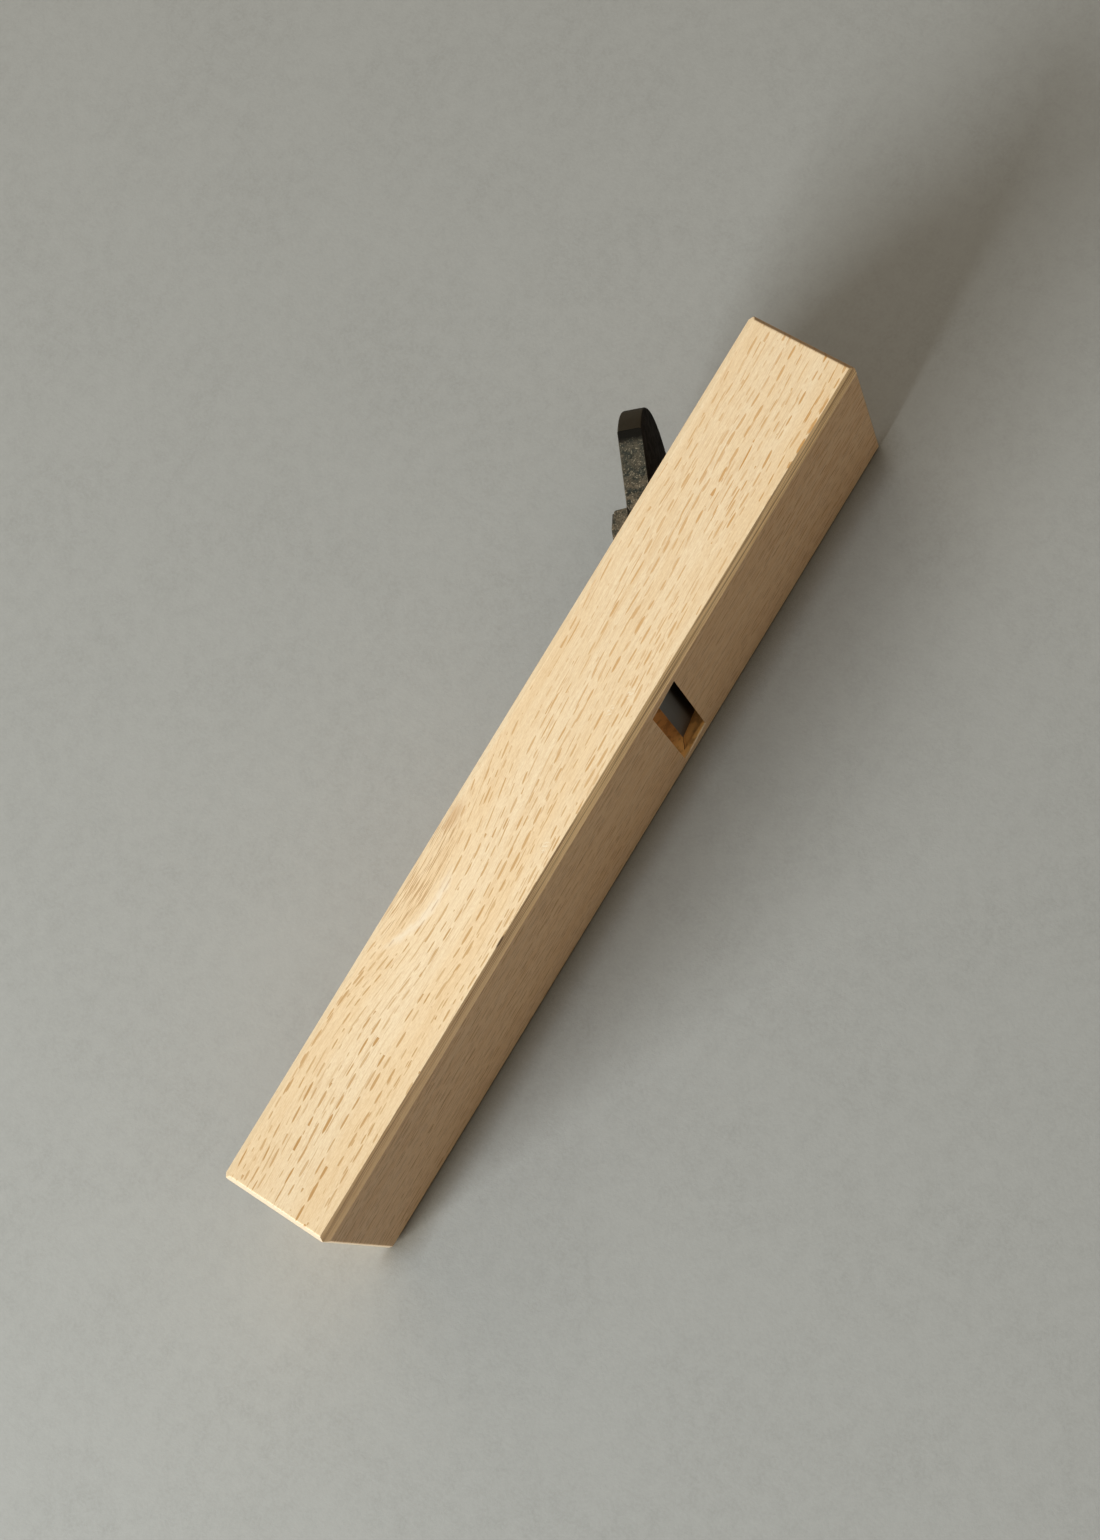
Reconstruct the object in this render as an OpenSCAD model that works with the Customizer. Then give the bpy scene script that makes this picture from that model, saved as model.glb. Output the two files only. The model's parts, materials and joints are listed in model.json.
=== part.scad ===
// Wooden smoothing plane of the pulled kind, lying on its lower cheek.
// X runs from the tail end to the head end, Y from the sole to the top, Z from cheek to cheek.
// The origin is the middle of the cheek that the plane lies on.

/* [Block] */
// Length of the block from tail end to head end
block_length = 250; // [235:1:300]
// Height of the block from sole to top
block_height = 31.5; // [30:0.5:38]
// Chamfer along the four long edges
long_chamfer = 2; // [0.5:0.1:2.5]
// Chamfer around the two ends
end_chamfer = 1; // [0.4:0.1:2]
// Wood left outside each blade groove
cheek_wall = 4.8; // [4:0.1:9]

/* [Mouth and throat] */
// Distance from the tail end to the line where the bed meets the sole
bed_foot = 160.8; // [140:0.2:175]
// Angle between the bed and the sole
bed_angle = 39; // [37:0.5:43]
// Opening of the mouth along the sole
mouth_length = 10.7; // [9:0.1:16]
// Height of the steep land in front of the mouth
land_height = 7; // [4:0.5:12]
// Angle of that land to the sole
land_angle = 80; // [70:1:90]
// Angle of the throat's front slope to the sole
slope_angle = 50; // [45:1:65]

/* [Blade grooves] */
// Depth of each groove into its cheek
groove_depth = 1.7; // [1.5:0.1:4]
// Room between the blade and each groove's side wall
groove_side_gap = 0.7; // [0.3:0.1:1]
// Room between the blade's face and the groove's upper wall
groove_face_gap = 0.25; // [0.1:0.05:0.5]
// Wood left between the groove's end and the sole
groove_floor = 1.2; // [0.8:0.1:1.6]

/* [Main blade] */
// Full width of the blade
blade_width = 49; // [42:0.5:60]
// Length of the blade from cutting edge to the tip of its head
blade_length = 82.2; // [78:0.1:100]
// Thickness of the blade
blade_thickness = 6.2; // [5:0.1:7]
// Bevel angle at the cutting edge
bevel_angle = 29; // [25:0.5:31]
// Height of the cutting edge above the sole
edge_height = 2.9; // [1.5:0.1:4]
// Width of the blade where its head begins
shoulder_width = 48.8; // [38:0.2:49]
// Rise of the head's arc above the shoulders
head_rise = 12.2; // [10:0.2:19]
// Bevel around the head's arc
head_bevel = 0.4; // [0.2:0.1:1.6]
// Thickness of the blade's steel face
steel_thickness = 1.3; // [0.8:0.1:2]
// Length of the blade's steel face
steel_length = 50; // [42:1:56]
// Depth of the hollow ground into the steel face
hollow_depth = 0.4; // [0.2:0.05:0.6]
// Width of that hollow
hollow_width = 34; // [24:1:36]

/* [Chipbreaker] */
// Length of the chipbreaker
breaker_length = 49; // [44:0.5:58]
// Thickness of the chipbreaker
breaker_thickness = 3.8; // [3:0.1:4.4]
// Distance of its edge behind the cutting edge
breaker_setback = 1.5; // [0.5:0.1:3]
// Room between the chipbreaker and each cheek
breaker_side_gap = 1.5; // [0.4:0.1:2]
// Bevel angle at its edge
breaker_bevel = 28; // [22:1:35]
// Height of the steep bevel right at its edge
breaker_lip = 0.6; // [0.3:0.1:1]
// Rounding of the upper edge of its head
breaker_round = 1.6; // [0.8:0.1:2.3]
// Leg of each bent corner along the plate's edges
ear_leg = 5; // [4:0.5:9]
// Angle that each corner is bent towards the blade
ear_angle = 16; // [11:0.5:20]
// Thickness of the chipbreaker's steel face
breaker_steel_thickness = 0.8; // [0.5:0.1:1.2]
// Length of the chipbreaker's steel face
breaker_steel_length = 18; // [12:1:26]

/* [Pin] */
// Diameter of the pin over the chipbreaker
pin_diameter = 4; // [3:0.1:5]
// Distance of the pin up the bed from the sole
pin_up_bed = 18; // [15:0.5:21]
// Depth of the pin's blind hole in the upper cheek
pin_blind_depth = 3.5; // [2:0.1:5]
// Depth of the pin's outer end below the lower cheek
pin_recess = 0.3; // [0.1:0.1:1]

/* [Clearances] */
// Room between the bed and the blade
bed_gap = 0.05; // [0.02:0.01:0.15]
// Room between the blade and the chipbreaker
breaker_gap = 0.05; // [0.02:0.01:0.15]
// Room between the chipbreaker and the pin
pin_gap = 0.25; // [0.15:0.05:0.5]
// Room between the blade's nose and each side of the mouth
nose_side_gap = 0.4; // [0.2:0.1:1]
// Room between the groove's floor and the blade when it is set to cut
groove_floor_gap = 0.25; // [0.15:0.05:0.5]

/* [Hidden] */
$fn = 96;

oak = "burlywood";
forged_iron = "dimgray";
polished_steel = "silver";

// Distance that cutters run past the faces they cut
over = 2;

groove_width = blade_width + 2 * groove_side_gap;
throat_width = groove_width - 2 * groove_depth;
block_width = groove_width + 2 * cheek_wall;
mouth_front = bed_foot - mouth_length;
groove_top = bed_gap + blade_thickness + groove_face_gap;

// Places along the bed, measured from the line where it meets the sole
blade_face = bed_gap + blade_thickness;
edge_place = (edge_height - blade_face * cos(bed_angle)) / sin(bed_angle);
tip_place = edge_place + blade_length;
shoulder_place = tip_place - head_rise;

// The nose fits the mouth, and the blade widens behind it where the grooves have begun
bevel_rise = sin(bed_angle) - tan(bevel_angle) * cos(bed_angle);
nose_width = throat_width - 2 * nose_side_gap;
nose_flare = 0.8;
edge_width = nose_width - 2 * nose_flare;
nose_length = (groove_floor + groove_floor_gap) / bevel_rise;
flare_length = (blade_width - nose_width) * 0.8;

head_radius = (pow(shoulder_width / 2, 2) + pow(head_rise, 2)) / (2 * head_rise);
hollow_radius = (pow(hollow_width / 2, 2) + pow(hollow_depth, 2)) / (2 * hollow_depth);
hollow_place = hollow_width / 2 + 3;

// The plate of the chipbreaker leans back, so that it touches at its edge and at its bent corners
breaker_width = throat_width - 2 * breaker_side_gap;
breaker_place = edge_place + breaker_setback;
breaker_seat = blade_face + breaker_gap;
ear_reach = ear_leg / sqrt(2) + breaker_thickness * tan(ear_angle / 2);
ear_drop = ear_reach * tan(ear_angle);
breaker_lean = asin(ear_drop / breaker_length);
lip_angle = 60;
lip_run = breaker_lip / tan(lip_angle);
bevel_run = (breaker_thickness - breaker_lip) / tan(breaker_bevel);

pin_top_of_plate = breaker_seat + breaker_thickness / cos(breaker_lean)
    + (pin_up_bed - breaker_place) * tan(breaker_lean);
pin_height = pin_top_of_plate + (pin_gap + pin_diameter / 2) / cos(breaker_lean);
pin_start = pin_recess;
pin_end = block_width / 2 + throat_width / 2 + pin_blind_depth;

// Point at height y over the sole on the line that lies n off the bed
function off_bed(n, y) = [
    bed_foot + (y - n * cos(bed_angle)) / tan(bed_angle) - n * sin(bed_angle),
    y
];

// Moves the plane from its drawing place, tail end and sole at zero, into its own frame
module placed() {
    translate([-block_length / 2, -block_height / 2, 0]) children();
}

// Local X runs up the bed from the sole, Y away from the bed, Z from the middle of the width
module on_bed() {
    placed()
        translate([bed_foot, 0, block_width / 2])
            rotate([0, 0, bed_angle])
                children();
}

// Local X runs along the chipbreaker from its edge, Y through its thickness
module on_breaker() {
    on_bed()
        translate([breaker_place, breaker_seat, 0])
            rotate([0, 0, breaker_lean])
                children();
}

// Extrudes an outline drawn along X and Z through the heights low to high along Y
module plan_slab(low, high) {
    translate([0, high, 0])
        rotate([90, 0, 0])
            linear_extrude(high - low)
                children();
}

// Extrudes a profile drawn along X and Y evenly to both sides of the middle of the width
module side_slab(width) {
    translate([0, 0, -width / 2])
        linear_extrude(width)
            children();
}

module chamfered_rectangle(length, width, chamfer) {
    polygon([
        [chamfer, 0],
        [length - chamfer, 0],
        [length, chamfer],
        [length, width - chamfer],
        [length - chamfer, width],
        [chamfer, width],
        [0, width - chamfer],
        [0, chamfer]
    ]);
}

module block_blank() {
    intersection() {
        rotate([90, 0, 90])
            linear_extrude(block_length)
                chamfered_rectangle(block_height, block_width, long_chamfer);
        linear_extrude(block_width)
            chamfered_rectangle(block_length, block_height, end_chamfer);
        plan_slab(0, block_height)
            chamfered_rectangle(block_length, block_width, end_chamfer);
    }
}

module throat_profile() {
    top = block_height + over;
    land_top = mouth_front - land_height / tan(land_angle);
    polygon([
        [mouth_front, -over],
        [mouth_front, 0],
        [land_top, land_height],
        [land_top - (top - land_height) / tan(slope_angle), top],
        off_bed(0, top),
        off_bed(0, -over)
    ]);
}

module groove_profile() {
    top = block_height + over;
    polygon([
        off_bed(0, groove_floor),
        off_bed(0, top),
        off_bed(groove_top, top),
        off_bed(groove_top, groove_floor)
    ]);
}

module pin_body(from_z, to_z) {
    on_bed()
        translate([pin_up_bed, pin_height, from_z - block_width / 2])
            cylinder(h = to_z - from_z, d = pin_diameter);
}

module blade_plan() {
    flare_place = edge_place + nose_length;
    polygon([
        [edge_place, -edge_width / 2],
        [flare_place, -nose_width / 2],
        [flare_place + flare_length, -blade_width / 2],
        [shoulder_place, -shoulder_width / 2],
        [shoulder_place, shoulder_width / 2],
        [flare_place + flare_length, blade_width / 2],
        [flare_place, nose_width / 2],
        [edge_place, edge_width / 2]
    ]);
}

module blade_profile() {
    heel = edge_place + blade_thickness / tan(bevel_angle);
    polygon([
        [heel, bed_gap],
        [tip_place, bed_gap],
        [tip_place, blade_face],
        [edge_place, blade_face]
    ]);
}

// The round head, as a disc with a bevel around each face
module head_disc() {
    translate([tip_place - head_radius, bed_gap, 0])
        rotate([-90, 0, 0])
            rotate_extrude($fn = 180)
                polygon([
                    [0, 0],
                    [head_radius - head_bevel, 0],
                    [head_radius, head_bevel],
                    [head_radius, blade_thickness - head_bevel],
                    [head_radius - head_bevel, blade_thickness],
                    [0, blade_thickness]
                ]);
}

module blade_blank() {
    intersection() {
        side_slab(blade_width + over) blade_profile();
        union() {
            plan_slab(0, groove_top) blade_plan();
            intersection() {
                head_disc();
                translate([shoulder_place, 0, -blade_width / 2])
                    cube([head_rise + over, groove_top, blade_width]);
            }
        }
    }
}

// Region of the blade that is steel: a thin layer under its face, fading out towards the head
module steel_layer() {
    deep = blade_face - steel_thickness;
    end_place = edge_place + steel_length;
    side_slab(blade_width + over)
        polygon([
            [edge_place - over, deep],
            [end_place - 2 * steel_thickness, deep],
            [end_place, blade_face],
            [end_place, blade_face + over],
            [edge_place - over, blade_face + over]
        ]);
}

// Shallow round hollow ground into the blade's face behind its edge
module ground_hollow() {
    translate([edge_place + hollow_place, blade_face - hollow_depth, 0])
        rotate([-90, 0, 0])
            rotate_extrude()
                intersection() {
                    translate([0, hollow_radius]) circle(hollow_radius, $fn = 1440);
                    square([hollow_width, 2 * hollow_depth]);
                }
}

module breaker_profile() {
    difference() {
        polygon([
            [0, 0],
            [breaker_length, 0],
            [breaker_length, breaker_thickness],
            [lip_run + bevel_run, breaker_thickness],
            [lip_run, breaker_lip]
        ]);
        translate([breaker_length - breaker_round, breaker_thickness - breaker_round])
            difference() {
                square(breaker_round + over);
                circle(breaker_round);
            }
    }
}

module breaker_plate() {
    side_slab(breaker_width) breaker_profile();
}

// Prism along the fold line of one corner, its outline drawn outwards from the line and
// through the plate's thickness
module along_fold() {
    translate([breaker_length - ear_leg / 2, 0, breaker_width / 2 - ear_leg / 2])
        rotate([0, -45, 0])
            side_slab(4 * ear_leg)
                children();
}

// What the fold takes off the upper side of a corner
module above_ear() {
    along_fold()
        polygon([
            [0, breaker_thickness],
            [ear_leg, breaker_thickness - ear_leg * tan(ear_angle)],
            [ear_leg, breaker_thickness + over],
            [0, breaker_thickness + over]
        ]);
}

// What the fold adds under a corner
module below_ear() {
    bend = -breaker_thickness * tan(ear_angle / 2);
    intersection() {
        along_fold()
            polygon([
                [bend, 0],
                [ear_leg, (bend - ear_leg) * tan(ear_angle)],
                [ear_leg, breaker_thickness / 2],
                [bend, breaker_thickness / 2]
            ]);
        translate([0, -ear_leg, 0])
            cube([breaker_length, 2 * ear_leg, breaker_width / 2]);
    }
}

module breaker_blank() {
    difference() {
        breaker_plate();
        above_ear();
        mirror([0, 0, 1]) above_ear();
    }
    below_ear();
    mirror([0, 0, 1]) below_ear();
}

module breaker_steel_layer() {
    side_slab(breaker_width + over)
        polygon([
            [-over, -over],
            [breaker_steel_length, -over],
            [breaker_steel_length, 0],
            [breaker_steel_length - 2 * breaker_steel_thickness, breaker_steel_thickness],
            [-over, breaker_steel_thickness]
        ]);
}

// The oak block, with its throat, mouth, bed, blade grooves and pin hole
module block() {
    color(oak)
        difference() {
            placed() block_blank();
            placed()
                translate([0, 0, block_width / 2]) {
                    side_slab(throat_width) throat_profile();
                    side_slab(groove_width) groove_profile();
                }
            pin_body(-over, pin_end);
        }
}

// The soft iron body of the blade, from its bevel to its round head
module blade_iron() {
    color(forged_iron)
        on_bed()
            difference() {
                blade_blank();
                steel_layer();
            }
}

// The hard steel face of the blade, which carries the cutting edge and the hollow
module blade_steel() {
    color(polished_steel)
        on_bed()
            difference() {
                intersection() {
                    blade_blank();
                    steel_layer();
                }
                ground_hollow();
            }
}

// The soft iron body of the chipbreaker, with its two bent corners
module chipbreaker_iron() {
    color(forged_iron)
        on_breaker()
            difference() {
                breaker_blank();
                breaker_steel_layer();
            }
}

// The hard steel face of the chipbreaker, which carries its edge
module chipbreaker_steel() {
    color(polished_steel)
        on_breaker()
            intersection() {
                breaker_blank();
                breaker_steel_layer();
            }
}

// The steel pin across the throat, driven in through the lower cheek
module chipbreaker_pin() {
    color(polished_steel) pin_body(pin_start, pin_end);
}

block();
blade_iron();
blade_steel();
chipbreaker_iron();
chipbreaker_steel();
chipbreaker_pin();
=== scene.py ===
"""Looks of a wooden hand plane that lies on its cheek. Lengths are in metres unless their name says mm."""

import json
import math

import bmesh
import bpy
from mathutils import Euler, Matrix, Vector


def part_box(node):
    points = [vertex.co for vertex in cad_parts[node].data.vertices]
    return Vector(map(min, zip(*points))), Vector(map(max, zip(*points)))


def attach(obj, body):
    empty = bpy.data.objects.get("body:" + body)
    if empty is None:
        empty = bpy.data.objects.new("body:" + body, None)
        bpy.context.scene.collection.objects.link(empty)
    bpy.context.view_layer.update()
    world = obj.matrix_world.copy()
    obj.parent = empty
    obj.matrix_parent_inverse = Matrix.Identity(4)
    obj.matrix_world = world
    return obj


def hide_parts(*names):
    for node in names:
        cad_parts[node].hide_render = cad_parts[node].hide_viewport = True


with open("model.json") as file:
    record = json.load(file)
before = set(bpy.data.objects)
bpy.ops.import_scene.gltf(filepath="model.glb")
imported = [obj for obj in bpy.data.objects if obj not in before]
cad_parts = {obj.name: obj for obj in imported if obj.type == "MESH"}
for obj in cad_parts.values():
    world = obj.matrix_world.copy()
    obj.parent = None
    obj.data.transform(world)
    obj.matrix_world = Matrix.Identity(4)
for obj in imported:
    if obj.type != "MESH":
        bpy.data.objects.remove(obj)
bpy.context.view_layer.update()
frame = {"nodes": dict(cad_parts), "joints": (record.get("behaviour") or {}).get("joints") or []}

BLOCK_LOW, BLOCK_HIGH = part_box("block")
BLOCK_SIZE = BLOCK_HIGH - BLOCK_LOW
BLADE_SLIDE = next(joint for joint in frame["joints"] if joint["name"] == "blade_slide")
BED = Vector(BLADE_SLIDE["axis"]).normalized()
OFF_BED = Vector((-BED.y, BED.x, 0))

MM = 0.001
WELD_REACH = 1e-6
OUTSIDE_SLACK = 1e-6
FLAT_ANGLE_DEG = 0.5
CHEEK_HIGH_MM = BLOCK_HIGH.z / MM
HALF_HEIGHT_MM = BLOCK_SIZE.y / MM / 2
HALF_LENGTH_MM = BLOCK_SIZE.x / MM / 2

# The oak's rays are sheets along the block, turned this far about its length. The grain climbs and sways.
RAY_TURN = math.radians(40)
RAY_COS = math.cos(RAY_TURN)
RAY_SIN = math.sin(RAY_TURN)
RAY_REACH_MM = 60.0
GRAIN_CLIMB = 0.023
GRAIN_SWAY_MM = 1.8

# Kinds of marks, in millimetres: the pitch of their rows, the room for one mark, its length and its width.
# The higher the chain value, the fewer marks there are.
BROAD_RAYS = dict(pitch=2.0, cell=6.0, length=(3.2, 5.9), width=(0.28, 0.50), chain=0.51, seed=1.0)
FINE_RAYS = dict(pitch=1.8, cell=4.2, length=(1.4, 4.0), width=(0.20, 0.36), chain=0.55, seed=2.0)
LONG_RAYS = dict(pitch=1.5, cell=9.0, length=(5.0, 8.6), width=(0.16, 0.30), chain=0.55, seed=5.0)
PORES = dict(pitch=0.70, cell=4.6, length=(1.8, 4.4), width=(0.14, 0.26), chain=0.49, seed=3.0)

# Places and reaches of single features, in the frame's millimetres
KNOT_PLACE_MM = (-37.0, 12.5, 60.0)
KNOT_REACH_MM = (21.0, 6.0, 12.0)
DIP_REACH_MM = (47.0, 34.0, 40.0)
DIP_DEPTH_MM = 3.0
KNOT_EYE_MM = (-20.0, 13.2, 60.0)
KNOT_EYE_REACH_MM = (6.5, 2.6, 4.0)
SCAR_PLACE_MM = (-40.0, 5.4)
SCAR_BOW = 0.018
SCAR_WIDTH_MM = 1.6
SCAR_RAG_MM = 2.2
FLECKS_MM = ((27.5, -9.3, 60.0), (21.0, -7.2, 60.0), (-15.5, -11.0, 60.0))
FLECK_REACH_MM = (2.6, 0.9, 2.0)
CHIP_PLACE_MM = (-41.0, -13.8, 60.0)
CHIP_REACH_MM = (2.4, 0.35, 0.5)
CHAMFER_LINE_MM = 0.8
SOLE_EDGE_DROP_MM = (-0.8, 0.85)
SOLE_EDGE_BAND_MM = (3.0, 1.0)
ON_SOLE_MM = 0.01
MOUTH_CORNERS_MM = ((35.8, 53.5, 1.7), (25.1, 6.5, -1.7))
MOUTH_CORNER_REACH_MM = 0.3

# Distances up the bed from where it meets the sole
BED_FOOT_MM = (35.8, -15.75, 30.0)
EDGE_STEEL_MM = 1.0
BEVEL_END_MM = 14.0
STEEL_BRIGHT_MM = 34.0
HEAD_DARK_MM = 64.0
BREAKER_CORNER_MM = (45.4, 8.55)
BREAKER_CORNER_RADIUS_MM = 2.0
BREAKER_SIDE_MM = 21.0

BED_TURN_DEG = math.degrees(math.atan2(BED.y, BED.x))
BLADE_BEVEL_DEG = 29.0
NO_BEVEL = (0.0, 0.0, 0.0)

BLOCK_EDGE = dict(width=0.00025, segments=3, angle_deg=20)
BLADE_EDGE = dict(width=0.0003, segments=2, angle_deg=30)
BREAKER_EDGE = dict(width=0.0004, segments=2, angle_deg=30)
PIN_EDGE = dict(width=0.0003, segments=2, angle_deg=30)

FLOOR_SIZE = 14.0
LAMP_FOOT_MM = (-1150.0, 140.0, 0.0)
CONTACT_REACH = 0.009

CAMERA_PLACE = (-0.03571, -0.18494, 0.66765)
CAMERA_TURN_DEG = (11.684, 12.541, -57.783)
LENS_MM = 60.7
SENSOR_MM = 36.0

COOL_LIGHT = (0.88, 0.945, 1.0)
WARM_LIGHT = (1.0, 0.915, 0.79)
# Each lamp's name, place, the place it looks at, its two sides, its power in watts and its colour
LAMPS = (
    ("key", (-1.555, 0.219, 0.651), (0, 0, 0.03), (0.8, 0.5), 53.5, COOL_LIGHT),
    ("overhead", (-0.4, -0.2, 5.8), (0, 0, 0), (9.36, 9.36), 168.0, WARM_LIGHT),
    ("back", (0.75, 0.95, 0.9), (0, 0, 0.03), (1.2, 1.2), 5.0, WARM_LIGHT),
)
WORLD_LIGHT = (0.042, 0.040, 0.037, 1.0)
BACKDROP = (0.105, 0.103, 0.097, 1.0)


def srgb(red, green, blue):
    """Linear colour of an 8-bit display colour."""
    def linear(value):
        value = value / 255
        return value / 12.92 if value <= 0.04045 else ((value + 0.055) / 1.055) ** 2.4
    return (linear(red), linear(green), linear(blue), 1.0)


WHITE = (1.0, 1.0, 1.0, 1.0)

OAK_PALE = srgb(251, 229, 192)
OAK_WARM = srgb(247, 219, 176)
OAK_STREAK = srgb(233, 198, 149)
OAK_FIBRE = srgb(221, 183, 132)
OAK_GRIT = srgb(214, 174, 122)
RAY_BY_TAIL = srgb(196, 150, 90)
RAY_BY_HEAD = srgb(206, 152, 84)
PORE_BROWN = srgb(160, 108, 72)
SOLE_SHADE_TINT = (0.98, 0.79, 0.65, 1.0)
TAIL_SHADE_TINT = (0.87, 0.855, 0.83, 1.0)
KNOT_TAN = srgb(186, 141, 90)
KNOT_HALO = srgb(230, 198, 152)
KNOT_EYE_TAN = srgb(196, 150, 98)
SCAR_PALE = srgb(255, 243, 222)
FLECK_PALE = srgb(255, 243, 220)
CHAMFER_LIT_PALE = srgb(222, 184, 132)
CHAMFER_SHADED_BY_TAIL = srgb(195, 159, 116)
CHAMFER_LINE = srgb(124, 92, 56)
CHAMFER_LANE = srgb(122, 90, 57)
TAIL_SLOPE_AND_SHADE = srgb(186, 165, 136)
HEAD_SLOPE = srgb(142, 108, 72)
END_GRAIN = srgb(176, 132, 84)
CHIP_DARK = srgb(84, 58, 36)
SHADED_WALL_TAN = srgb(208, 158, 80)
SHADED_WALL_BROWN = srgb(168, 116, 56)
LIT_LOW_WALL_DEEP = srgb(216, 150, 76)
LIT_LOW_WALL_NEAR = srgb(244, 184, 104)
LOW_WALL_MOTTLE = srgb(140, 92, 44)
BED_BROWN = srgb(84, 56, 30)

SCALE_AND_SHADE_BLACK = srgb(4, 2, 0)
SCALE_AND_SHADE_BROWN = srgb(16, 9, 3)
SCALE_RIM = srgb(24, 22, 18)
SCALE_FRONT_DARK = srgb(24, 22, 19)
SCALE_FRONT_GREY = srgb(62, 58, 51)
LIT_HEAD_RIM = srgb(42, 39, 33)
FILED_DARK = srgb(50, 52, 46)
FILED_TAN = srgb(106, 95, 78)
FILED_BY_HEAD = srgb(58, 62, 56)
SPECK_PALE = srgb(158, 148, 126)
SPECK_DARK = srgb(34, 34, 29)
WORN_EDGE_AND_HIGHLIGHT = srgb(146, 134, 112)
BEVEL_STEEL = srgb(112, 110, 106)
BEVEL_IRON_AND_SHADE = srgb(26, 21, 15)
GROUND_LIGHT = srgb(150, 150, 147)
GROUND_DARK = srgb(96, 96, 94)
DRAWN_LIGHT = srgb(140, 140, 138)
DRAWN_DARK = srgb(104, 103, 100)
STEEL_CLOUD = srgb(112, 106, 96)
STEEL_DULL = srgb(40, 37, 32)

PAPER_DARK = srgb(151, 150, 144)
PAPER_MIDDLE = srgb(156, 155, 149)
PAPER_PALE = srgb(161, 160, 154)
PAPER_FAR = srgb(232, 231, 225)
PAPER_BY_LAMP = srgb(60, 60, 58)
FOOT_SHADE_TINT = (0.48, 0.40, 0.29, 1.0)


class Graph:
    """A node material under construction, with short calls for the nodes that it uses."""

    def __init__(self, name):
        self.material = bpy.data.materials.new(name)
        self.material.use_nodes = True
        self.tree = self.material.node_tree
        self.shader = self.tree.nodes["Principled BSDF"]
        self.coords = self.add("ShaderNodeTexCoord")

    def add(self, kind, **settings):
        node = self.tree.nodes.new(kind)
        for key, value in settings.items():
            setattr(node, key, value)
        return node

    def feed(self, socket, value):
        """Links a socket to another, or sets it to a number, a colour or a vector."""
        if isinstance(value, bpy.types.NodeSocket):
            self.tree.links.new(value, socket)
        elif value is not None:
            socket.default_value = value

    def math(self, operation, a, b=None, c=None):
        node = self.add("ShaderNodeMath", operation=operation)
        for socket, value in zip(node.inputs, (a, b, c)):
            self.feed(socket, value)
        return node.outputs[0]

    def times(self, first, *others):
        for other in others:
            first = self.math("MULTIPLY", first, other)
        return first

    def times_plus(self, a, b, c):
        return self.math("MULTIPLY_ADD", a, b, c)

    def plus(self, a, b):
        return self.math("ADD", a, b)

    def minus(self, a, b):
        return self.math("SUBTRACT", a, b)

    def over(self, a, b):
        return self.math("DIVIDE", a, b)

    def floor(self, a):
        return self.math("FLOOR", a)

    def without_sign(self, a):
        return self.math("ABSOLUTE", a)

    def larger(self, a, b):
        return self.math("MAXIMUM", a, b)

    def vector(self, operation, a, b=None):
        node = self.add("ShaderNodeVectorMath", operation=operation)
        self.feed(node.inputs[0], a)
        self.feed(node.inputs[1], b)
        return node.outputs[1 if operation in ("LENGTH", "DOT_PRODUCT") else 0]

    def split(self, vector):
        node = self.add("ShaderNodeSeparateXYZ")
        self.feed(node.inputs[0], vector)
        return node.outputs[0], node.outputs[1], node.outputs[2]

    def join(self, x, y, z):
        node = self.add("ShaderNodeCombineXYZ")
        for socket, value in zip(node.inputs, (x, y, z)):
            self.feed(socket, value)
        return node.outputs[0]

    def noise(self, place, scale=1.0, detail=3.0, roughness=0.5):
        node = self.add("ShaderNodeTexNoise")
        self.feed(node.inputs["Vector"], place)
        node.inputs["Scale"].default_value = scale
        node.inputs["Detail"].default_value = detail
        node.inputs["Roughness"].default_value = roughness
        return node.outputs[0]

    def noise_at(self, place, stretch, detail=3.0, roughness=0.5):
        """Noise over a place, with how fast it changes along each axis."""
        return self.noise(self.vector("MULTIPLY", place, stretch), 1.0, detail, roughness)

    def noise_along(self, axes, stretch, detail=3.0, roughness=0.5):
        """Noise over three coordinates of any kind, with how fast it changes along each."""
        place = self.join(*(self.times(axis, factor) for axis, factor in zip(axes, stretch)))
        return self.noise(place, 1.0, detail, roughness)

    def cells(self, place):
        """Distance from the middle of the nearest of many scattered cells."""
        node = self.add("ShaderNodeTexVoronoi")
        self.feed(node.inputs["Vector"], place)
        node.inputs["Scale"].default_value = 1.0
        return node.outputs["Distance"]

    def random(self, place):
        node = self.add("ShaderNodeTexWhiteNoise", noise_dimensions="3D")
        self.feed(node.inputs["Vector"], place)
        return node.outputs["Value"], node.outputs["Color"]

    def range(self, value, low, high, to_low=0.0, to_high=1.0, smooth=True):
        node = self.add("ShaderNodeMapRange")
        node.interpolation_type = "SMOOTHSTEP" if smooth else "LINEAR"
        self.feed(node.inputs[0], value)
        for socket, bound in zip(node.inputs[1:5], (low, high, to_low, to_high)):
            self.feed(socket, bound)
        return node.outputs[0]

    def between(self, share, low, high):
        """The value at a share of the way from low to high."""
        return self.range(share, 0, 1, low, high, smooth=False)

    def mix(self, factor, a, b, blend="MIX"):
        node = self.add("ShaderNodeMix", data_type="RGBA", blend_type=blend)
        self.feed(node.inputs[0], factor)
        self.feed(node.inputs[6], a)
        self.feed(node.inputs[7], b)
        return node.outputs[2]

    def tint(self, color, tint):
        return self.mix(1.0, color, tint, blend="MULTIPLY")

    def mix_value(self, factor, a, b):
        node = self.add("ShaderNodeMix", data_type="FLOAT")
        self.feed(node.inputs[0], factor)
        self.feed(node.inputs[2], a)
        self.feed(node.inputs[3], b)
        return node.outputs[0]

    def bump(self, height, distance, strength):
        node = self.add("ShaderNodeBump")
        self.feed(node.inputs["Height"], height)
        node.inputs["Distance"].default_value = distance
        node.inputs["Strength"].default_value = strength
        return node.outputs[0]

    def place_mm(self):
        return self.vector("MULTIPLY", self.coords.outputs["Object"], (1 / MM, 1 / MM, 1 / MM))

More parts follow.
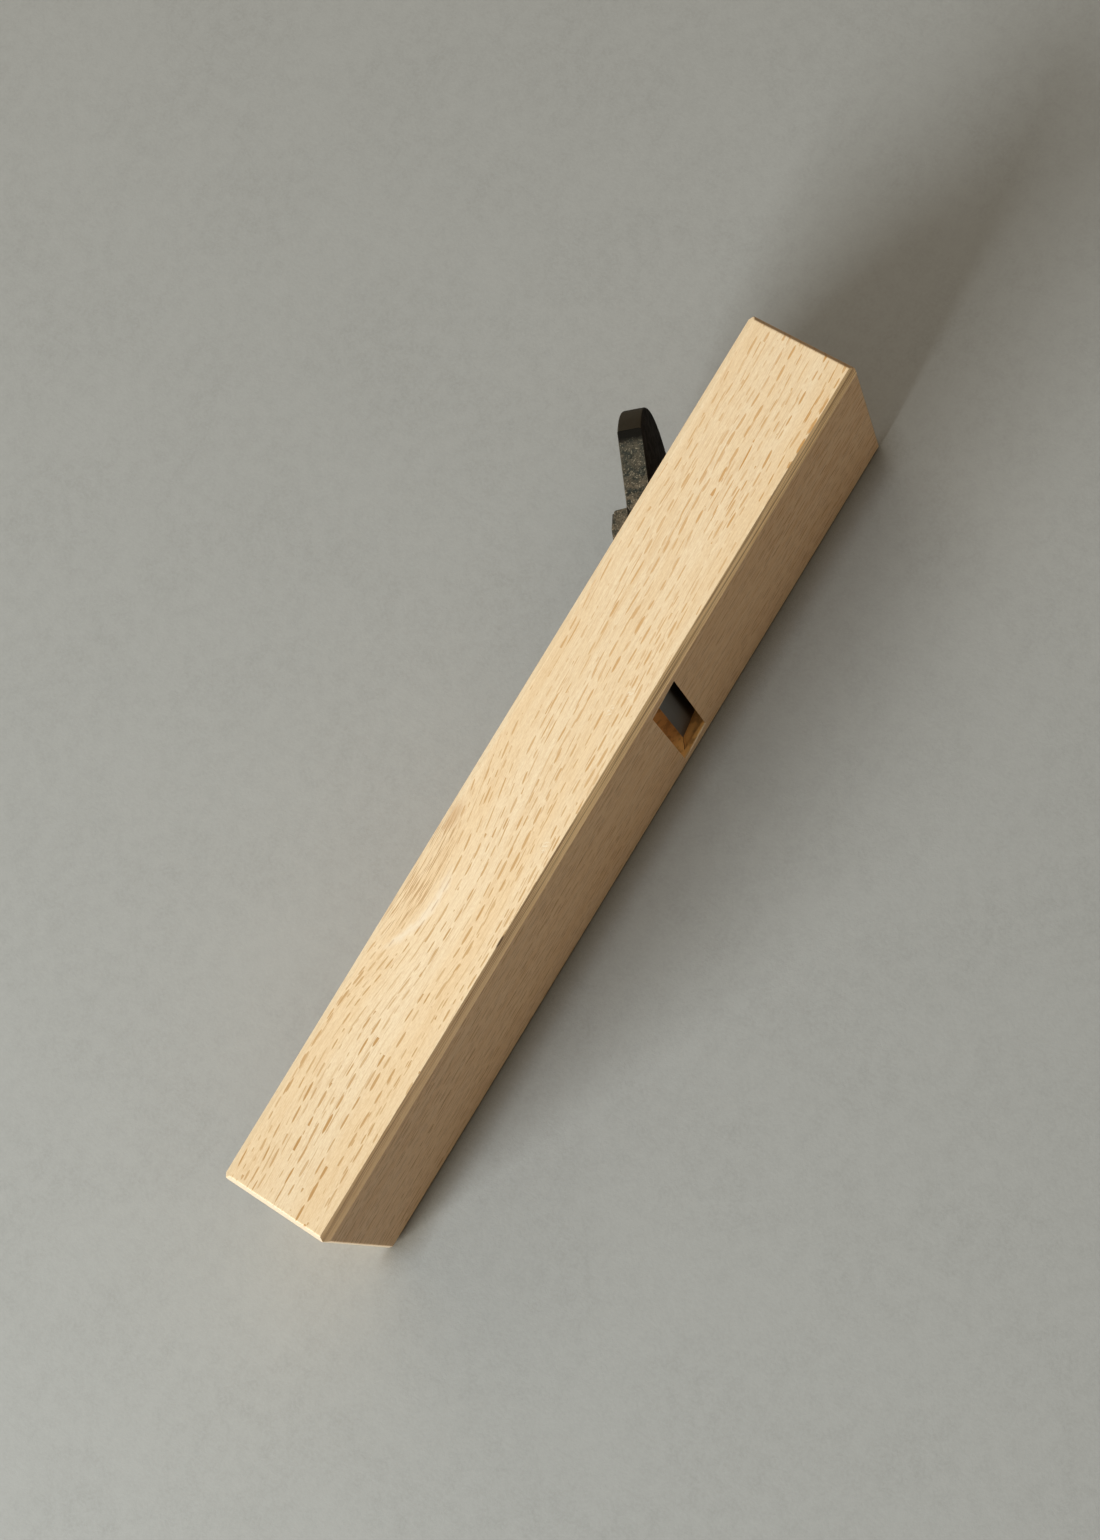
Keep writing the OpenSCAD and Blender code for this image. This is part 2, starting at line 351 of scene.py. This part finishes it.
    def finish(self, color=None, roughness=None, normal=None, metallic=None, specular=None):
        self.feed(self.shader.inputs["Base Color"], color)
        self.feed(self.shader.inputs["Roughness"], roughness)
        self.feed(self.shader.inputs["Normal"], normal)
        self.feed(self.shader.inputs["Metallic"], metallic)
        self.feed(self.shader.inputs["Specular IOR Level"], specular)
        return self.material


def spot(g, place, centre, reach, edge=0.3):
    """A soft mask around a place, with its reach along each axis."""
    away = g.vector("LENGTH", g.vector("DIVIDE", g.vector("SUBTRACT", place, centre), reach))
    return g.range(away, 1.0, edge)


def ray_rows(g, x, across, deep, pitch, cell, length, width, chain, seed):
    """Marks in chains along the grain: a mask of short spindles and a random tone for each."""
    row = g.floor(g.over(across, pitch))
    layer = g.floor(g.over(deep, RAY_REACH_MM))
    shift, row_side, row_width = g.split(g.random(g.join(row, layer, seed))[1])
    place = g.plus(g.over(x, cell), g.times(shift, 7.3))
    column = g.floor(place)
    value, color = g.random(g.join(row, column, g.plus(layer, seed * 3.1)))
    red, green, blue = g.split(color)

    half_length = g.times(g.between(red, *length), 0.5)
    room = g.minus(cell / 2, half_length)
    centre = g.times(g.times_plus(green, 2.0, -1.0), room)
    in_cell = g.minus(g.minus(place, column), 0.5)
    off_x = g.minus(g.times(in_cell, cell), centre)

    sideways = g.times(g.minus(row_side, 0.5), pitch * 0.5)
    sideways = g.plus(sideways, g.times(g.minus(blue, 0.5), pitch * 0.12))
    middle = g.times(g.plus(row, 0.5), pitch)
    off_row = g.without_sign(g.minus(g.minus(across, middle), sideways))

    taper = g.math("POWER", g.without_sign(g.over(off_x, half_length)), 4.0)
    widest = g.times(g.between(value, width[0] / 2, width[1] / 2), g.between(row_width, 0.75, 1.25))
    inside = g.minus(g.times(g.minus(1.0, taper), widest), off_row)
    mask = g.range(inside, -0.04, 0.08)
    run_place = g.join(g.times(x, 0.036), g.times(row, 3.7), g.times_plus(layer, 5.3, seed * 9.1))
    run = g.noise(run_place, detail=1.0)
    chosen = g.math("GREATER_THAN", g.times_plus(blue, 0.1, run), chain)
    tone = g.math("FRACT", g.times(value, 53.0))
    return g.times(mask, chosen), tone


def wood_rays(g, x, y, across, deep, on_side, keep):
    """The marks of the rays: chains of spindles on the cheeks, fine short pores on the sole and top."""
    broad, broad_tone = ray_rows(g, x, across, deep, **BROAD_RAYS)
    fine, fine_tone = ray_rows(g, x, g.plus(across, 1.2), deep, **FINE_RAYS)
    long, long_tone = ray_rows(g, x, g.plus(across, 0.7), deep, **LONG_RAYS)
    pore, pore_tone = ray_rows(g, x, g.plus(across, 0.4), deep, **PORES)

    # The marks fade towards the head, apart from those near the sole's edge there
    fade = g.times(g.range(x, -HALF_LENGTH_MM, 110.0, 1.0, 0.64), keep)
    low_head = g.times(g.range(x, 30.0, 90.0), g.range(y, 6.0, -4.0, 1.0, 1.55))
    fade = g.times(fade, g.larger(low_head, 1.0))
    broad = g.times(broad, g.between(broad_tone, 0.55, 1.0))
    fine = g.times(fine, g.between(fine_tone, 0.4, 0.9), g.range(x, -20.0, 60.0, 1.0, 0.75))
    long = g.times(long, g.between(long_tone, 0.2, 0.6), g.range(x, -70.0, 20.0, 1.0, 1.9))
    rays = g.times(g.larger(g.larger(broad, fine), long), fade)

    faint = g.times(on_side, g.range(y, -10.0, 10.0, 0.1, 0.5))
    return g.times(rays, g.minus(1.0, faint)), g.times(pore, g.between(pore_tone, 0.35, 1.0))


def knot_figure(g, color, place, x, y_grain):
    """Fine tan streaks around a hidden knot by the top edge, and the knot's eye."""
    lines = g.noise(g.join(g.times(x, 0.11), g.times(y_grain, 3.4), 0.0), detail=2.0, roughness=0.6)
    lines = g.times(g.range(lines, 0.51, 0.60), spot(g, place, KNOT_PLACE_MM, KNOT_REACH_MM, 0.55))
    color = g.mix(g.times(lines, 0.85), color, KNOT_TAN)
    halo = spot(g, place, KNOT_PLACE_MM, KNOT_REACH_MM, 0.1)
    color = g.mix(g.times(halo, 0.25), color, KNOT_HALO)
    eye = spot(g, place, KNOT_EYE_MM, KNOT_EYE_REACH_MM, 0.0)
    return g.mix(g.times(eye, 0.5), color, KNOT_EYE_TAN)


def pale_marks(g, color, place, x, y):
    """A bowed, ragged pale scar under the knot, and a few hatched flecks."""
    on_cheek = g.range(g.split(place)[2], CHEEK_HIGH_MM - 4.0, CHEEK_HIGH_MM - 1.0)
    bow = g.math("POWER", g.minus(x, SCAR_PLACE_MM[0]), 2.0)
    ragged = g.noise_at(place, (0.35, 0.6, 0.1), 3.0, 0.65)
    off = g.minus(g.minus(y, SCAR_PLACE_MM[1]), g.times(bow, SCAR_BOW))
    off = g.without_sign(g.times_plus(g.minus(ragged, 0.5), SCAR_RAG_MM, off))
    length = g.times(g.range(x, -60.0, -53.0), g.range(x, -29.0, -38.0))
    scar = g.times(g.range(off, SCAR_WIDTH_MM, 0.0), length, on_cheek)
    color = g.mix(g.times(scar, 0.42), color, SCAR_PALE)

    over_hatch = g.times_plus(y, 1.6, g.times(x, 1.6))
    along_hatch = g.times_plus(y, -0.5, g.times(x, 0.5))
    hatch = g.noise(g.join(over_hatch, along_hatch, 0.0), detail=1.0)
    for centre in FLECKS_MM:
        fleck = g.times(spot(g, place, centre, FLECK_REACH_MM), g.range(hatch, 0.45, 0.6))
        color = g.mix(g.times(fleck, 0.5), color, FLECK_PALE)
    return color


def chamfer_tones(g, color, x, y, z, normal):
    """The sole's chamfers: dark and pale lines along them, a pale tone that is painted light for the light
    their slope catches, and a deeper colour towards the tail that is painted shade against the key lamp's
    stronger light there.
    """
    _, normal_y, normal_z = g.split(normal)
    slanted = g.times(g.without_sign(normal_y), g.without_sign(normal_z), 2.0)
    chamfer = g.times(g.range(slanted, 0.55, 0.9), g.range(y, 4.0, -4.0))
    # Painted light and shade: paler than the sole for the light on their slope, darker towards the tail
    # against the key lamp.
    lit_chamfer_tone = g.mix(g.range(x, 10.0, -70.0), CHAMFER_LIT_PALE, CHAMFER_SHADED_BY_TAIL)
    color = g.mix(g.times(chamfer, 0.85), color, lit_chamfer_tone)

    off_line = g.without_sign(g.minus(z, CHEEK_HIGH_MM - CHAMFER_LINE_MM))
    line = g.times(g.range(off_line, 0.3, 0.08), chamfer)
    color = g.mix(g.times(line, 0.12), color, CHAMFER_LINE)
    lanes = g.noise_along((x, z, y), (0.022, 4.4, 4.4), 3.0, 0.7)
    upper = g.range(z, CHEEK_HIGH_MM - 1.7, CHEEK_HIGH_MM - 0.8, 0.3, 1.0)
    lane = g.times(g.range(lanes, 0.45, 0.58), chamfer, g.times(upper, 0.75))
    return g.mix(lane, color, CHAMFER_LANE)


def end_tones(g, color, place, x, normal):
    """Deeper colour and open pores on the end grain, and a tone for the slopes of each end. The tail's
    slope is darker partly as end grain and partly as painted shade, which holds back the key lamp's strong
    light on it.
    """
    towards_end = g.without_sign(g.split(normal)[0])
    on_slope = g.times(g.range(towards_end, 0.4, 0.6), g.range(towards_end, 0.95, 0.85))
    tail_slope = g.times(on_slope, g.range(x, 0.0, -1.0))
    # Partly painted shade: the tail's slope darkened against the key lamp's strong light on it, and partly
    # the end grain's deeper colour.
    color = g.mix(g.times(tail_slope, 0.95), color, TAIL_SLOPE_AND_SHADE)
    head_slope = g.times(on_slope, g.range(x, 0.0, 1.0))
    end_grain = g.larger(g.range(towards_end, 0.75, 0.95), head_slope)
    pores = g.noise_at(place, (0.1, 2.8, 2.8), 3.0, 0.6)
    color = g.mix(g.times(end_grain, g.range(pores, 0.35, 0.7, 0.2, 0.6)), color, END_GRAIN)
    return g.mix(g.times(head_slope, 0.7), color, HEAD_SLOPE)


def inside_tones(g, color, x, y, z, normal):
    """Painted shade inside the mouth and throat: the chopped walls there are darker and warmer than the
    planed outside. The bed is the darkest, and the lower cheek's wall is painted paler towards the mouth
    as painted light.
    """
    off_middle = g.without_sign(g.minus(z, CHEEK_HIGH_MM / 2))
    inside = g.times(
        g.range(g.without_sign(y), HALF_HEIGHT_MM - 0.1, HALF_HEIGHT_MM - 0.7),
        g.range(off_middle, CHEEK_HIGH_MM / 2 - 2.1, CHEEK_HIGH_MM / 2 - 3.0),
        g.range(g.without_sign(x), HALF_LENGTH_MM - 1.1, HALF_LENGTH_MM - 2.0))
    chopped = g.noise_along((x, y, z), (0.3, 0.5, 0.3), 3.0, 0.65)
    # Painted shade: the walls inside darker and warmer than the outside.
    wall = g.mix(g.range(chopped, 0.42, 0.6), SHADED_WALL_TAN, SHADED_WALL_BROWN)
    color = g.mix(g.times(inside, 0.85), color, wall)

    # Painted light: the lower cheek's wall inside paler and more orange, most of all near the mouth, where
    # the light comes in.
    on_low_wall = g.times(inside, g.range(g.split(normal)[2], 0.8, 0.95))
    low_wall = g.mix(g.range(y, -9.0, -14.0), LIT_LOW_WALL_DEEP, LIT_LOW_WALL_NEAR)
    low_wall = g.mix(g.range(chopped, 0.45, 0.62, 0.0, 0.5), low_wall, LOW_WALL_MOTTLE)
    color = g.mix(on_low_wall, color, low_wall)
    on_bed = g.times(inside, g.range(g.vector("DOT_PRODUCT", normal, tuple(OFF_BED)), 0.8, 0.95))
    return g.mix(g.times(on_bed, 0.75), color, BED_BROWN)


def planed_tones(g, x, fibre, grain):
    """The oak's colour before its rays: slow rings, streaks, fibres and fine grit along the grain."""
    streak = g.noise_along(grain, (0.012, 0.9, 0.9), 3.0, 0.6)
    rings = g.noise_along(grain, (0.005, 0.10, 0.16), 3.0, 0.55)
    grit = g.noise_along(grain, (0.9, 4.0, 4.0), 2.0, 0.6)
    color = g.mix(g.range(rings, 0.32, 0.7), OAK_PALE, OAK_WARM)
    lines = g.times(g.range(streak, 0.42, 0.75), g.range(x, -HALF_LENGTH_MM, 60.0, 0.15, 0.5))
    color = g.mix(lines, color, OAK_STREAK)
    color = g.mix(g.times(g.range(fibre, 0.44, 0.72), 0.46), color, OAK_FIBRE)
    return g.mix(g.range(grit, 0.34, 0.66, 0.0, 0.26), color, OAK_GRIT)


def oak_material():
    """Planed oak as one solid: the rays run as thin sheets across the width, and every cut shows them."""
    g = Graph("planed_oak")
    place = g.place_mm()
    x, y, z = g.split(place)
    normal = g.coords.outputs["Normal"]
    normal_y = g.split(normal)[1]
    # The grain climbs a little along the block, wavers, and dips around a hidden knot by the top edge
    slow = g.noise_at(place, (0.022, 0.06, 0.06), 2.0)
    sway = g.times(g.minus(slow, 0.5), GRAIN_SWAY_MM)
    dip = g.times(spot(g, place, KNOT_PLACE_MM, DIP_REACH_MM, 0.0), DIP_DEPTH_MM)
    lift = g.minus(g.plus(sway, dip), g.times(x, GRAIN_CLIMB))
    y_grain = g.plus(y, lift)
    z_grain = g.plus(z, lift)
    across = g.plus(g.times(y_grain, RAY_COS), g.times(z_grain, RAY_SIN))
    deep = g.minus(g.times(z_grain, RAY_COS), g.times(y_grain, RAY_SIN))
    grain = (x, across, deep)
    fibre = g.noise_along(grain, (0.12, 3.0, 3.0), 4.0, 0.65)
    color = planed_tones(g, x, fibre, grain)

    # The rays stop at the knot and on the top's slopes, and the sole and the top show pores instead
    on_side = g.range(g.without_sign(normal_y), 0.8, 0.95)
    off_knot = g.times_plus(spot(g, place, KNOT_PLACE_MM, KNOT_REACH_MM, 0.6), -0.8, 1.0)
    top_slope = g.times(g.range(normal_y, 0.2, 0.5), g.range(normal_y, 0.9, 0.8))
    keep = g.times(off_knot, g.minus(1.0, top_slope))
    rays, pore = wood_rays(g, x, y, across, deep, on_side, keep)
    color = g.mix(rays, color, g.mix(g.range(x, -60.0, 60.0), RAY_BY_TAIL, RAY_BY_HEAD))
    color = g.mix(g.times(pore, g.times_plus(on_side, 0.5, 0.08)), color, PORE_BROWN)
    # Painted shade: the sole and the top are tinted darker and warmer, the tone of the shaded sole.
    color = g.tint(color, g.mix(g.times(on_side, 0.85), WHITE, SOLE_SHADE_TINT))
    # Painted shade: the oak darker towards the tail, which evens out the key lamp's stronger light there.
    color = g.tint(color, g.mix(g.range(x, -130.0, -30.0), TAIL_SHADE_TINT, WHITE))

    color = knot_figure(g, color, place, x, y_grain)
    color = pale_marks(g, color, place, x, y)
    color = chamfer_tones(g, color, x, y, z, normal)
    color = end_tones(g, color, place, x, normal)
    chip = spot(g, place, CHIP_PLACE_MM, CHIP_REACH_MM, 0.5)
    color = g.mix(g.times(chip, 0.85), color, CHIP_DARK)
    color = inside_tones(g, color, x, y, z, normal)
    height = g.minus(g.times(fibre, 0.6), g.times(rays, 0.8))
    rough = g.range(fibre, 0.2, 0.8, 0.44, 0.6)
    return g.finish(color, rough, g.bump(height, 0.00004, 0.5), specular=0.32)


def distance_up_bed(g, place):
    """Millimetres up the bed from its foot."""
    return g.vector("DOT_PRODUCT", g.vector("SUBTRACT", place, BED_FOOT_MM), tuple(BED))


def bevel_mask(g, ground_normal):
    """Where the surface faces the way that the ground bevel does."""
    return g.range(g.vector("DOT_PRODUCT", g.coords.outputs["Normal"], ground_normal), 0.975, 0.995)


def scale_tones(g, patches, normal, up_bed):
    """Forge scale: near black on the bed side, partly the scale's own black and partly painted shade;
    greyer on the front; the rim of the round head painted lighter towards its top, as painted light for
    the shading of its curve.
    """
    off_bed = g.vector("DOT_PRODUCT", normal, tuple(OFF_BED))
    on_front = g.range(off_bed, 0.5, 0.9)
    on_rim = g.range(g.without_sign(off_bed), 0.9, 0.5)
    patchy = g.range(patches, 0.35, 0.68)
    # Near black: the scale's own colour, and painted shade on the bed side, which faces away from the
    # light.
    scale = g.mix(patchy, SCALE_AND_SHADE_BLACK, SCALE_AND_SHADE_BROWN)
    scale = g.mix(on_rim, scale, SCALE_RIM)
    scale = g.mix(on_front, scale, g.mix(patchy, SCALE_FRONT_DARK, SCALE_FRONT_GREY))
    # Painted light: the rim of the round head lighter towards its top, standing in for the shading of its
    # curve.
    lit_head_top = g.range(up_bed, HEAD_DARK_MM + 4.0, HEAD_DARK_MM + 11.0)
    return g.mix(g.times(lit_head_top, on_rim), scale, LIT_HEAD_RIM)


def filed_tones(g, patches, specks, up_bed):
    """Filed iron: grey and tan patches, greyer towards the head, with pale and dark specks."""
    filed = g.mix(g.range(patches, 0.36, 0.6), FILED_DARK, FILED_TAN)
    near_head = g.range(up_bed, HEAD_DARK_MM - 18.0, HEAD_DARK_MM - 3.0)
    filed = g.mix(g.times(near_head, 0.5), filed, FILED_BY_HEAD)
    filed = g.mix(g.range(specks, 0.56, 0.70), filed, SPECK_PALE)
    return g.mix(g.range(specks, 0.44, 0.30), filed, SPECK_DARK)


def forged_material(name, ground_normal):
    """Iron left black from the forge on its faces, filed and mottled on its sides, ground on its bevel,
    with painted shade on its bed side and the bevel's iron, and painted light on its edges and round head.
    """
    g = Graph(name)
    place = g.place_mm()
    normal = g.coords.outputs["Normal"]
    up_bed = distance_up_bed(g, place)
    patches = g.noise_at(place, (0.42, 0.42, 0.42), 5.0, 0.7)
    specks = g.noise_at(place, (2.4, 2.4, 2.4), 3.0, 0.65)
    pits = g.cells(g.vector("MULTIPLY", place, (1.4, 1.4, 1.4)))
    scale = scale_tones(g, patches, normal, up_bed)
    filed = filed_tones(g, patches, specks, up_bed)

    facing = g.without_sign(g.split(normal)[2])
    below_head = g.range(g.times_plus(patches, 3.0, up_bed), HEAD_DARK_MM + 2.4, HEAD_DARK_MM)
    color = g.mix(g.times(g.range(facing, 0.8, 0.97), below_head), scale, filed)
    # Paler edges: partly wear, partly a painted highlight along them.
    edge_wear_and_highlight = g.times(g.range(facing, 0.3, 0.55), g.range(facing, 0.97, 0.85))
    color = g.mix(g.times(edge_wear_and_highlight, g.times_plus(below_head, 0.35, 0.15)), color, WORN_EDGE_AND_HIGHLIGHT)
    # The bevel shows the hard steel bright at the edge, and above it the soft iron near black: partly its
    # duller colour, partly painted shade and a painted dark reflection of the mouth's wall.
    on_bevel = bevel_mask(g, ground_normal)
    ground = g.mix(g.range(up_bed, EDGE_STEEL_MM, EDGE_STEEL_MM + 1.4), BEVEL_STEEL, BEVEL_IRON_AND_SHADE)
    color = g.mix(on_bevel, color, ground)

    height = g.plus(g.times(patches, 1.2), g.times(g.range(pits, 0.0, 0.35), 0.5))
    height = g.times(height, g.minus(1.0, on_bevel))
    rough = g.mix_value(on_bevel, g.range(patches, 0.3, 0.7, 0.76, 0.6), 0.44)
    metal = g.mix_value(on_bevel, g.times(below_head, 0.2), 0.95)
    return g.finish(color, rough, g.bump(height, 0.00012, 0.6), metallic=metal, specular=0.04)


def steel_material(name, light, dark, stroke, ground_normal):
    """Ground or drawn steel with scratches along one axis, and smooth where a bevel is ground on it."""
    g = Graph(name)
    place = g.place_mm()
    lines = g.noise_at(place, stroke, 4.0, 0.65)
    cloud = g.noise_at(place, (0.12, 0.12, 0.12), 3.0, 0.6)
    color = g.mix(g.range(lines, 0.3, 0.7), dark, light)
    color = g.mix(g.times(g.range(cloud, 0.5, 0.7), 0.3), color, STEEL_CLOUD)
    up_bed = distance_up_bed(g, place)
    color = g.mix(g.range(up_bed, STEEL_BRIGHT_MM, STEEL_BRIGHT_MM + 6.0), color, STEEL_DULL)
    on_bevel = bevel_mask(g, ground_normal)
    color = g.mix(on_bevel, color, BEVEL_STEEL)
    rough = g.plus(g.range(lines, 0.3, 0.7, 0.24, 0.38), g.times(cloud, 0.1))
    rough = g.mix_value(on_bevel, rough, 0.44)
    height = g.times(lines, g.minus(1.0, on_bevel))
    return g.finish(color, rough, g.bump(height, 0.000008, 0.5), metallic=0.9)


def is_outer(face, points):
    """Whether all the points lie behind the face, so that it belongs to the outside of the block."""
    origin = face.verts[0].co
    return max((point - origin).dot(face.normal) for point in points) < OUTSIDE_SLACK


def node_copy(node, name, reshape=None):
    """A copy of a CAD node's mesh, welded and with its flat faces whole, which stands for the node."""
    mesh = frame["nodes"][node].data.copy()
    mesh.name = name
    mesh.materials.clear()
    piece = bpy.data.objects.new(name, mesh)
    bpy.context.scene.collection.objects.link(piece)
    work = bmesh.new()
    work.from_mesh(mesh)
    bmesh.ops.remove_doubles(work, verts=work.verts, dist=WELD_REACH)
    flat_angle = math.radians(FLAT_ANGLE_DEG)
    bmesh.ops.dissolve_limit(work, angle_limit=flat_angle, verts=work.verts, edges=work.edges)
    if reshape:
        reshape(work)
    work.normal_update()
    work.to_mesh(mesh)
    work.free()
    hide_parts(node)
    return piece


def soften(piece, width, segments, angle_deg, wanted=None):
    """Rounds the piece's convex sharp edges, or only those that the test wants."""
    mesh = piece.data
    work = bmesh.new()
    work.from_mesh(mesh)
    work.normal_update()
    layers = work.edges.layers.float
    weight = layers.get("bevel_weight_edge") or layers.new("bevel_weight_edge")
    for edge in work.edges:
        sharp = edge.is_manifold and edge.is_convex and edge.calc_face_angle(0) > math.radians(angle_deg)
        edge[weight] = 1.0 if sharp and (wanted is None or wanted(edge)) else 0.0
    work.to_mesh(mesh)
    work.free()
    bevel = piece.modifiers.new("soft_edges", "BEVEL")
    bevel.width = width
    bevel.segments = segments
    bevel.limit_method = "WEIGHT"
    bevel.use_clamp_overlap = True


def shape_sole(work):
    """The sole's upper chamfer was planed wider towards the tail, and the mouth chopped a little askew."""
    low, high = (CHEEK_HIGH_MM - depth for depth in SOLE_EDGE_BAND_MM)
    by_tail, by_head = SOLE_EDGE_DROP_MM
    for vert in work.verts:
        x, y, z = (value / MM for value in vert.co)
        if abs(y + HALF_HEIGHT_MM) >= ON_SOLE_MM:
            continue
        if low < z < high:
            share = (x + HALF_LENGTH_MM) / (2 * HALF_LENGTH_MM)
            vert.co.z += ((1 - share) * by_tail + share * by_head) * MM
        for corner_x, corner_z, shift in MOUTH_CORNERS_MM:
            if math.hypot(x - corner_x, z - corner_z) < MOUTH_CORNER_REACH_MM:
                vert.co.z += shift * MM


def round_breaker_corners(work):
    """Rounds the chipbreaker's two bent corners at its head end."""
    foot = Vector(BED_FOOT_MM)
    corner = Vector(BREAKER_CORNER_MM)
    for vert in work.verts:
        place = vert.co / MM - foot
        away = Vector((place.dot(BED), place.dot(OFF_BED))) - corner
        if abs(place.z) > BREAKER_SIDE_MM and min(away) > 0 and away.length > BREAKER_CORNER_RADIUS_MM:
            pull = away * (BREAKER_CORNER_RADIUS_MM / away.length - 1)
            vert.co += (BED * pull.x + OFF_BED * pull.y) * MM


def above_bevel(edge):
    """Whether a blade's edge lies clear of its ground bevel, which keeps its crisp outline."""
    foot = Vector(BED_FOOT_MM) * MM
    return min((vert.co - foot).dot(BED) for vert in edge.verts) > BEVEL_END_MM * MM


def build_block():
    block = node_copy("block", "oak_block", shape_sole)
    work = bmesh.new()
    work.from_mesh(block.data)
    points = [vert.co.copy() for vert in work.verts]
    outer = {face.index for face in work.faces if is_outer(face, points)}
    work.free()
    soften(block, **BLOCK_EDGE, wanted=lambda edge: all(face.index in outer for face in edge.link_faces))
    block.data.materials.append(oak_material())
    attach(block, "body")


def build_metal(node, name, material, body, edge, wanted=None, reshape=None):
    piece = node_copy(node, name, reshape)
    soften(piece, **edge, wanted=wanted)
    piece.data.materials.append(material)
    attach(piece, body)


def build_irons(blade_bevel):
    blade_scale = forged_material("blade_scale", blade_bevel)
    breaker_scale = forged_material("chipbreaker_scale", NO_BEVEL)
    build_metal("blade_iron", "blade_body", blade_scale, "blade", BLADE_EDGE,
                wanted=above_bevel)
    build_metal("chipbreaker_iron", "chipbreaker_body", breaker_scale, "chipbreaker",
                BREAKER_EDGE, reshape=round_breaker_corners)


def build_steel(blade_bevel):
    """The pin, and the hard steel faces of the blade and the chipbreaker, which keep their CAD nodes."""
    ground = steel_material("ground_steel", GROUND_LIGHT, GROUND_DARK, (0.4, 0.4, 9.0), blade_bevel)
    drawn = steel_material("drawn_steel", DRAWN_LIGHT, DRAWN_DARK, (6.0, 6.0, 0.4), NO_BEVEL)
    build_metal("chipbreaker_pin", "steel_pin", drawn, "body", PIN_EDGE)
    for node in ("blade_steel", "chipbreaker_steel"):
        slots = frame["nodes"][node].data.materials
        slots.clear()
        slots.append(ground)


def paper_material():
    g = Graph("floor_paper")
    place = g.place_mm()
    clouds = g.noise(place, 0.03, 3.0, 0.6)
    mottle = g.noise(place, 0.24, 3.0, 0.6)
    tooth = g.noise(place, 1.0, 3.0, 0.7)
    color = g.mix(g.range(clouds, 0.3, 0.7), PAPER_DARK, PAPER_MIDDLE)
    color = g.mix(g.range(mottle, 0.3, 0.7, 0.0, 0.6), color, PAPER_PALE)
    color = g.mix(g.range(tooth, 0.35, 0.7, 0.0, 0.7), color, PAPER_PALE)
    # Paler far out, and darker under the near lamp, so that the whole floor comes out even
    color = g.mix(g.range(g.vector("LENGTH", place), 700.0, 2600.0), color, PAPER_FAR)
    away = g.vector("LENGTH", g.vector("SUBTRACT", place, LAMP_FOOT_MM))
    color = g.mix(g.range(away, 860.0, 60.0), color, PAPER_BY_LAMP)
    # Painted contact shade: ambient occlusion darkens the floor at the sole's foot, and tints what is left
    # brown as a painted bounce of light from the oak.
    closed_in = g.add("ShaderNodeAmbientOcclusion", samples=4)
    closed_in.inputs["Distance"].default_value = CONTACT_REACH
    open_sky = g.range(closed_in.outputs["AO"], 0.5, 1.0, smooth=False)
    foot_shade = g.mix(open_sky, FOOT_SHADE_TINT, WHITE)
    by_sole = g.range(g.split(place)[1], -HALF_HEIGHT_MM + 3.0, -HALF_HEIGHT_MM)
    color = g.mix(by_sole, color, g.tint(color, foot_shade))
    return g.finish(color, 0.9, g.bump(tooth, 0.0001, 0.5), specular=0.1)


def build_floor():
    bpy.ops.mesh.primitive_plane_add(size=FLOOR_SIZE, location=(0, 0, 0))
    floor = bpy.context.object
    floor.name = "floor"
    floor.data.materials.append(paper_material())


def area_light(name, place, target, size, power, color):
    data = bpy.data.lights.new(name, "AREA")
    data.shape = "RECTANGLE"
    data.size, data.size_y = size
    data.energy = power
    data.color = color
    lamp = bpy.data.objects.new(name, data)
    bpy.context.scene.collection.objects.link(lamp)
    lamp.location = place
    direction = Vector(target) - Vector(place)
    lamp.rotation_euler = direction.to_track_quat("-Z", "Y").to_euler()


def build_camera():
    data = bpy.data.cameras.new("camera")
    data.sensor_width = SENSOR_MM
    data.lens = LENS_MM
    data.clip_start = 0.01
    data.clip_end = 20.0
    camera = bpy.data.objects.new("camera", data)
    bpy.context.scene.collection.objects.link(camera)
    camera.location = CAMERA_PLACE
    camera.rotation_euler = Euler([math.radians(turn) for turn in CAMERA_TURN_DEG], "XYZ")
    bpy.context.scene.camera = camera


def build_world(light, backdrop):
    """An even studio light, which the camera, metal and glass see as a plain backdrop."""
    world = bpy.data.worlds.new("studio")
    bpy.context.scene.world = world
    world.use_nodes = True
    tree = world.node_tree
    path = tree.nodes.new("ShaderNodeLightPath")
    seen = path.outputs["Is Camera Ray"]
    for kind in ("Is Glossy Ray", "Is Transmission Ray"):
        either = tree.nodes.new("ShaderNodeMath")
        either.operation = "MAXIMUM"
        tree.links.new(seen, either.inputs[0])
        tree.links.new(path.outputs[kind], either.inputs[1])
        seen = either.outputs[0]
    mix = tree.nodes.new("ShaderNodeMix")
    mix.data_type = "RGBA"
    mix.inputs[6].default_value = light
    mix.inputs[7].default_value = backdrop
    tree.links.new(seen, mix.inputs[0])
    tree.links.new(mix.outputs[2], tree.nodes["Background"].inputs[0])
    tree.nodes["Background"].inputs[1].default_value = 1.0


bevel_turn = math.radians(BED_TURN_DEG - BLADE_BEVEL_DEG)
bevel_normal = (math.sin(bevel_turn), -math.cos(bevel_turn), 0.0)
build_block()
build_irons(bevel_normal)
build_steel(bevel_normal)
build_floor()
build_camera()
for lamp_settings in LAMPS:
    area_light(*lamp_settings)
build_world(WORLD_LIGHT, BACKDROP)
bpy.context.scene.view_settings.view_transform = "Standard"
